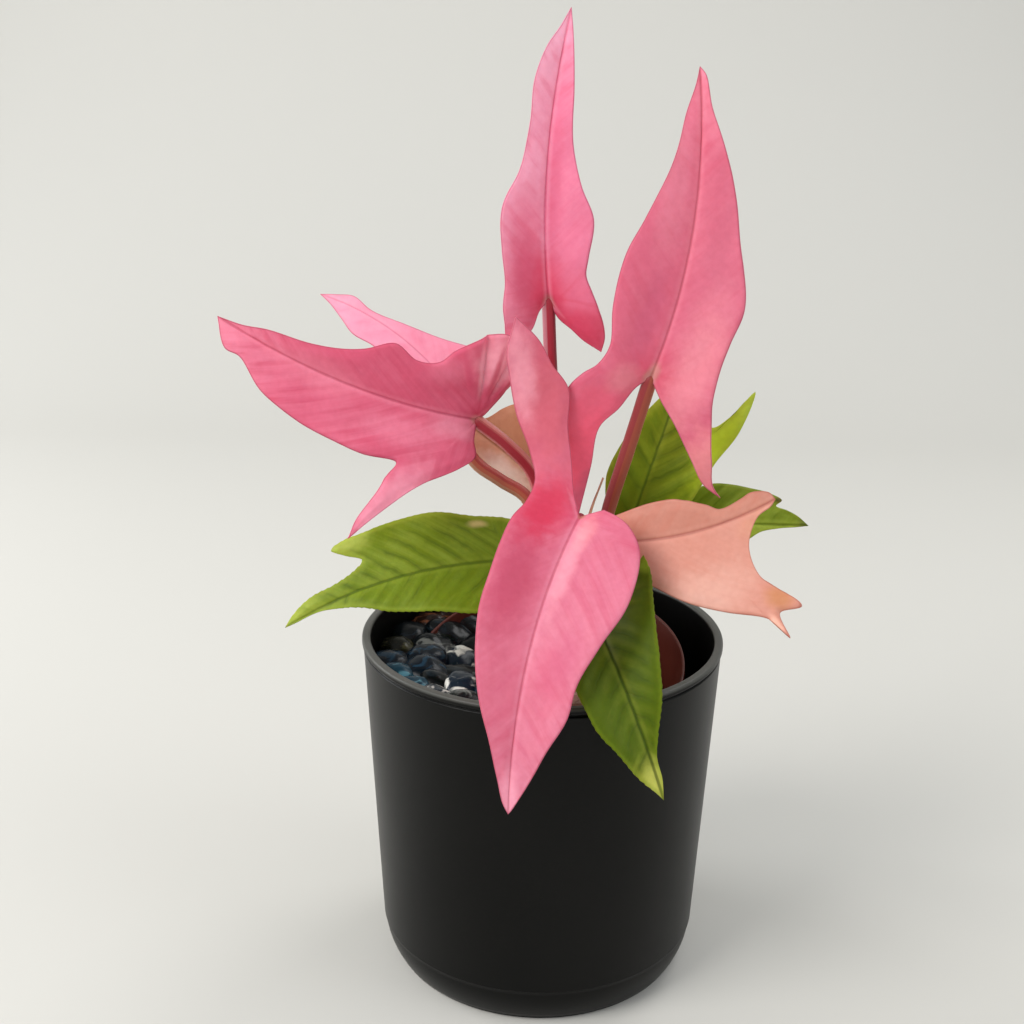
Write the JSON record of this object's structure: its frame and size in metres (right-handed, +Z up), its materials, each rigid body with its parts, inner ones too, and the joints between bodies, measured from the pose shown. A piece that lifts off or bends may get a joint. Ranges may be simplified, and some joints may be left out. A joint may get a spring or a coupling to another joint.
{
  "type": "potted arrowhead plant",
  "caption": "Arrowhead plant with arrow-shaped pink, salmon and green leaves on slim stalks, in a nursery pot that stands on pebbles in a black tapered cachepot.",
  "frame": {"origin": "centre of the cachepot's flat underside, on the surface that the pot stands on", "axes": "+Z up along the cachepot's axis, -Y towards the front of the plant, +X to its right as seen from the front"},
  "size_m": [0.1861, 0.1351, 0.315],
  "materials": {
    "pot_black": "matte",
    "pebble": "polished",
    "pot_maroon": "satin",
    "soil": "matte",
    "young_leaf": "satin",
    "stalk_red": "satin",
    "stalk_brown": "satin",
    "stalk_green": "satin",
    "leaf_pink": "matte",
    "leaf_rose": "matte",
    "leaf_salmon": "matte",
    "leaf_green": "satin"
  },
  "bodies": {
    "root": {"cachepot": "pot_black", "pebbles": "pebble", "nursery_pot": "pot_maroon", "soil": "soil", "young_leaf": "young_leaf", "petiole_pink_top": "stalk_red", "blade_pink_top": "leaf_pink", "petiole_pink_right": "stalk_red", "blade_pink_right": "leaf_pink", "petiole_pink_left": "stalk_red", "blade_pink_left": "leaf_rose", "petiole_pink_back": "stalk_brown", "blade_pink_back": "leaf_pink", "petiole_pink_front": "stalk_red", "blade_pink_front": "leaf_pink", "petiole_salmon_right": "stalk_brown", "blade_salmon_right": "leaf_salmon", "petiole_green_left": "stalk_green", "blade_green_left": "leaf_green", "petiole_green_front": "stalk_green", "blade_green_front": "leaf_green", "petiole_green_back": "stalk_green", "blade_green_back": "leaf_green", "petiole_green_right": "stalk_green", "blade_green_right": "leaf_green", "petiole_peach_back": "stalk_green", "blade_peach_back": "leaf_salmon"}
  },
  "joints": []
}
